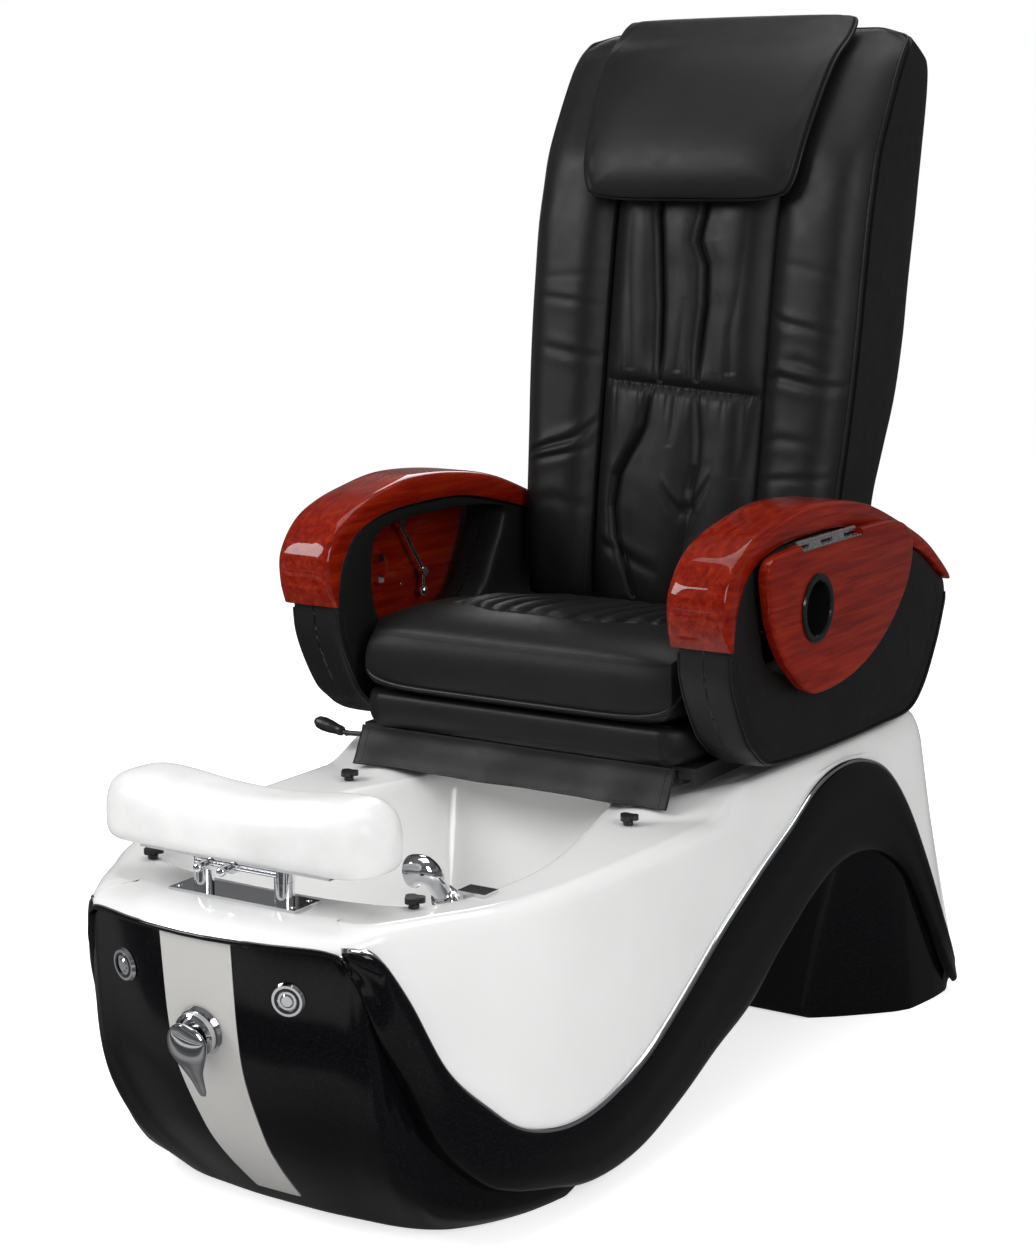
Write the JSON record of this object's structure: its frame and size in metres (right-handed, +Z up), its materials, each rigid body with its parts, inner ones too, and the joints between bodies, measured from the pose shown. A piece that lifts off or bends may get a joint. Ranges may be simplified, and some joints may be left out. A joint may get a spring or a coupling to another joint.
{
  "type": "pedicure spa chair",
  "caption": "Pedicure spa chair: white foot tub in a black wave base, sliding reclining upholstered seat, wooden arm caps, fold-up side trays and lifting footrest.",
  "frame": {"origin": "middle of the object's footprint on the floor", "axes": "+Z up, the chair faces -Y, its mixer and footrest are at -Y and its cup holder is at +X"},
  "size_m": [0.82, 1.593, 1.58],
  "materials": {
    "white_shell": "high-gloss white gelcoat",
    "black_gloss": "high-gloss black gelcoat",
    "silver_panel": "satin silver lacquer",
    "chrome": "polished chrome",
    "leather_black": "fine-grained black upholstery",
    "vinyl_white": "smooth white vinyl",
    "wood_red": "red mahogany stain under high-gloss varnish",
    "black_plastic": "black moulded plastic",
    "dark_steel": "black powder coat",
    "steel": "zinc plated steel"
  },
  "bodies": {
    "base": {"tub_shell": "white_shell", "front_hull": "black_gloss", "front_stripe": "silver_panel", "side_band_left": "black_gloss", "side_band_right": "black_gloss", "rear_pedestal": "black_gloss", "trim_left": "chrome", "trim_right": "chrome", "drain_fitting": "chrome", "shower_holder": "chrome", "footrest_plate": "chrome", "button_bezels": "chrome", "mixer_escutcheon": "chrome", "slide_rails": "dark_steel"},
    "hand_shower": {"hand_shower": "chrome"},
    "footrest": {"footrest_carriage": "chrome", "footrest_pad": "vinyl_white"},
    "lock_pin_left": {"lock_pin_left": "chrome"},
    "lock_pin_right": {"lock_pin_right": "chrome"},
    "button_left": {"button_left": "chrome"},
    "button_right": {"button_right": "chrome"},
    "mixer_hub": {"mixer_hub": "chrome"},
    "mixer_lever": {"mixer_lever": "chrome"},
    "thumbscrew_front_left": {"thumbscrew_front_left": "black_plastic"},
    "thumbscrew_front_right": {"thumbscrew_front_right": "black_plastic"},
    "thumbscrew_rear_left": {"thumbscrew_rear_left": "black_plastic"},
    "thumbscrew_rear_right": {"thumbscrew_rear_right": "black_plastic"},
    "seat": {"seat_frame": "dark_steel", "seat_cushion": "leather_black", "valance_roll": "leather_black", "skirt_flap": "leather_black", "arm_body_left": "leather_black", "arm_body_right": "leather_black", "arm_cap_left": "wood_red", "arm_cap_right": "wood_red", "tray_hinge_left": "chrome", "tray_hinge_right": "chrome", "stay_bracket_left": "chrome", "stay_bracket_right": "chrome", "recline_actuator": "dark_steel"},
    "slide_lever": {"slide_lever": "dark_steel", "lever_grip": "black_plastic"},
    "tray_left": {"tray_left": "wood_red", "tray_leaf_left": "chrome", "tray_lugs_left": "chrome"},
    "tray_right": {"tray_right": "wood_red", "tray_leaf_right": "chrome", "tray_lugs_right": "chrome", "cup_holder_right": "black_plastic"},
    "stay_left": {"stay_link_left": "chrome"},
    "stay_right": {"stay_link_right": "chrome"},
    "back": {"back_frame": "steel", "back_shell": "leather_black", "back_bolsters": "leather_black", "back_centre": "leather_black", "head_pillow": "leather_black"},
    "actuator_rod": {"actuator_rod": "chrome"}
  },
  "joints": [
    {"name": "seat_slide", "type": "slide", "parent": "base", "child": "seat", "axis": [0, 1, 0], "range_m": [-0.03, 0.1], "deforming": ["skirt_flap"]},
    {"name": "back_recline", "type": "hinge", "parent": "seat", "child": "back", "pos_m": [0, 0.48271, 0.59266], "axis": [-1, 0, 0], "range_deg": [0, 35]},
    {"name": "actuator_stroke", "type": "slide", "parent": "seat", "child": "actuator_rod", "axis": [0, -1, 0], "range_m": [0, 0.036]},
    {"name": "tray_right_swing", "type": "hinge", "parent": "seat", "child": "tray_right", "pos_m": [0.39005, 0.19563, 0.82269], "axis": [0, -1, 0], "range_deg": [0, 90]},
    {"name": "tray_left_swing", "type": "hinge", "parent": "seat", "child": "tray_left", "pos_m": [-0.39005, 0.19563, 0.82269], "axis": [0, 1, 0], "range_deg": [0, 90]},
    {"name": "stay_left_swing", "type": "hinge", "parent": "seat", "child": "stay_left", "pos_m": [-0.36888, 0.21059, 0.78151], "axis": [1, 0, 0], "range_deg": [-10, 12]},
    {"name": "stay_right_swing", "type": "hinge", "parent": "seat", "child": "stay_right", "pos_m": [0.36888, 0.23451, 0.78151], "axis": [1, 0, 0], "range_deg": [-10, 12]},
    {"name": "footrest_lift", "type": "slide", "parent": "base", "child": "footrest", "axis": [0, 0, 1], "range_m": [0, 0.07]},
    {"name": "lock_pin_left_pull", "type": "slide", "parent": "footrest", "child": "lock_pin_left", "axis": [0, -1, 0], "range_m": [0, 0.0075], "stiffness_N_per_m": 300},
    {"name": "lock_pin_right_pull", "type": "slide", "parent": "footrest", "child": "lock_pin_right", "axis": [0, -1, 0], "range_m": [0, 0.0075], "stiffness_N_per_m": 300},
    {"name": "button_left_press", "type": "slide", "parent": "base", "child": "button_left", "axis": [0.2625, 0.9614, 0.0828], "range_m": [0, 0.003], "stiffness_N_per_m": 600},
    {"name": "button_right_press", "type": "slide", "parent": "base", "child": "button_right", "axis": [-0.2625, 0.9614, 0.0828], "range_m": [0, 0.003], "stiffness_N_per_m": 600},
    {"name": "mixer_turn", "type": "hinge", "parent": "base", "child": "mixer_hub", "pos_m": [0, -0.752, 0.29332], "axis": [0, -0.9851, -0.1721], "range_deg": [-45, 45]},
    {"name": "mixer_lift", "type": "hinge", "parent": "mixer_hub", "child": "mixer_lever", "pos_m": [0, -0.77988, 0.28845], "axis": [-1, 0, 0], "range_deg": [0, 20]},
    {"name": "hand_shower_pull", "type": "slide", "parent": "base", "child": "hand_shower", "axis": [-0.0877, -0.5446, 0.8341], "range_m": [0, 0.03]},
    {"name": "thumbscrew_front_left_turn", "type": "hinge", "parent": "base", "child": "thumbscrew_front_left", "pos_m": [-0.20964, -0.59184, 0.44198], "axis": [0, 0, 1], "continuous": true},
    {"name": "thumbscrew_front_right_turn", "type": "hinge", "parent": "base", "child": "thumbscrew_front_right", "pos_m": [0.20964, -0.59184, 0.44198], "axis": [0, 0, 1], "continuous": true},
    {"name": "thumbscrew_rear_left_turn", "type": "hinge", "parent": "base", "child": "thumbscrew_rear_left", "pos_m": [-0.23987, -0.11038, 0.44198], "axis": [0, 0, 1], "continuous": true},
    {"name": "thumbscrew_rear_right_turn", "type": "hinge", "parent": "base", "child": "thumbscrew_rear_right", "pos_m": [0.23987, -0.11038, 0.44198], "axis": [0, 0, 1], "continuous": true},
    {"name": "slide_lever_lift", "type": "hinge", "parent": "seat", "child": "slide_lever", "pos_m": [-0.21568, -0.01768, 0.49425], "axis": [0, 1, 0], "range_deg": [0, 8.6], "stiffness_Nm_per_rad": 4, "springref_deg": -11.46}
  ],
  "couplings": [
    {"joint": "actuator_stroke", "follows": "back_recline", "m_per_rad": 0.0575}
  ]
}
